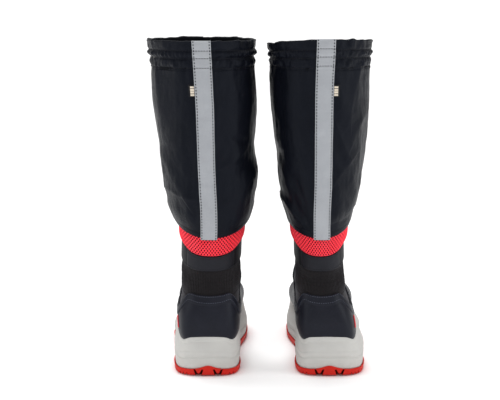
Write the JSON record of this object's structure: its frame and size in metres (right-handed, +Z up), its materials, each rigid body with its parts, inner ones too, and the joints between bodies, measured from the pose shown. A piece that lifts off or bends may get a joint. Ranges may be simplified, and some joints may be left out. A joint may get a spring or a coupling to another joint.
{
  "type": "gaiter boots",
  "caption": "Pair of calf-high hiking boots with built-in fabric gaiters, elastic top hems, front zips, padded mesh collars and lugged rubber soles.",
  "frame": {"origin": "on the ground under the middle of the pair's bounding box", "axes": "+Z up, +Y towards the toes, +X towards the right boot"},
  "size_m": [0.2668, 0.3084, 0.3983],
  "materials": {
    "outsole_rubber": "matte, red-orange",
    "midsole_foam": "matte foam, off-white",
    "steel": "satin",
    "board": "matte fibre board",
    "footbed_foam": "fabric-topped foam",
    "stretch_knit": "ribbed stretch knit, black",
    "overlay": "semi-gloss coated, dark navy",
    "stiffener": "matte",
    "heel_bar": "matte, red",
    "red_mesh": "diamond spacer mesh, red",
    "gaiter_cloth": "coated nylon, dark navy",
    "elastic": "woven elastic",
    "reflective_tape": "retroreflective silver-grey",
    "label": "plain woven label",
    "zip_tape": "woven tape, black",
    "zip_teeth": "moulded, black",
    "zip_metal": "black painted die casting",
    "zip_pull": "moulded, black"
  },
  "bodies": {
    "left_foot": {"left_outsole": "outsole_rubber", "left_midsole": "midsole_foam", "left_shank": "steel", "left_insole_board": "board", "left_footbed": "footbed_foam", "left_bootie": "stretch_knit", "left_toe_cap": "overlay", "left_vamp": "overlay", "left_quarter_lateral": "overlay", "left_quarter_medial": "overlay", "left_heel_counter": "overlay", "left_heel_stiffener": "stiffener", "left_heel_bar": "heel_bar", "left_ankle_stretch_panel": "stretch_knit"},
    "left_shaft": {"left_collar_lining": "stretch_knit", "left_collar_band": "overlay", "left_mesh_collar": "red_mesh", "left_gaiter_shell": "gaiter_cloth", "left_top_casing": "gaiter_cloth", "left_hem_elastic": "elastic", "left_reflective_stripe": "reflective_tape", "left_side_label": "label", "left_zip_tape": "zip_tape", "left_zip_teeth": "zip_teeth"},
    "left_slider": {"left_zip_slider": "zip_metal"},
    "left_pull": {"left_zip_pull": "zip_pull"},
    "right_foot": {"right_outsole": "outsole_rubber", "right_midsole": "midsole_foam", "right_shank": "steel", "right_insole_board": "board", "right_footbed": "footbed_foam", "right_bootie": "stretch_knit", "right_toe_cap": "overlay", "right_vamp": "overlay", "right_quarter_lateral": "overlay", "right_quarter_medial": "overlay", "right_heel_counter": "overlay", "right_heel_stiffener": "stiffener", "right_heel_bar": "heel_bar", "right_ankle_stretch_panel": "stretch_knit"},
    "right_shaft": {"right_collar_lining": "stretch_knit", "right_collar_band": "overlay", "right_mesh_collar": "red_mesh", "right_gaiter_shell": "gaiter_cloth", "right_top_casing": "gaiter_cloth", "right_hem_elastic": "elastic", "right_reflective_stripe": "reflective_tape", "right_side_label": "label", "right_zip_tape": "zip_tape", "right_zip_teeth": "zip_teeth"},
    "right_slider": {"right_zip_slider": "zip_metal"},
    "right_pull": {"right_zip_pull": "zip_pull"}
  },
  "joints": [
    {"name": "left_ankle_flex", "type": "hinge", "parent": "left_foot", "child": "left_shaft", "pos_m": [-0.0582, -0.07281, 0.11], "axis": [-1, 0, 0], "range_deg": [-8, 15], "stiffness_Nm_per_rad": 4, "deforming": ["left_ankle_stretch_panel"]},
    {"name": "left_zip_slide", "type": "slide", "parent": "left_shaft", "child": "left_slider", "axis": [-0.0554, 0.0449, 0.9975], "range_m": [-0.135, 0]},
    {"name": "left_pull_swing", "type": "hinge", "parent": "left_slider", "child": "left_pull", "pos_m": [-0.06686, -0.00213, 0.34677], "axis": [0.9985, 0, 0.0554], "range_deg": [0, 160]},
    {"name": "right_ankle_flex", "type": "hinge", "parent": "right_foot", "child": "right_shaft", "pos_m": [0.0728, -0.07281, 0.11], "axis": [-1, 0, 0], "range_deg": [-8, 15], "stiffness_Nm_per_rad": 4, "deforming": ["right_ankle_stretch_panel"]},
    {"name": "right_zip_slide", "type": "slide", "parent": "right_shaft", "child": "right_slider", "axis": [0.0012, 0.0449, 0.999], "range_m": [-0.135, 0]},
    {"name": "right_pull_swing", "type": "hinge", "parent": "right_slider", "child": "right_pull", "pos_m": [0.07173, -0.00213, 0.34677], "axis": [1, 0, -0.0012], "range_deg": [0, 160]},
    {"name": "right_boot_lift", "type": "slide", "parent": "left_foot", "child": "right_foot", "axis": [0, 0, 1], "range_m": [0, 0.25]}
  ]
}
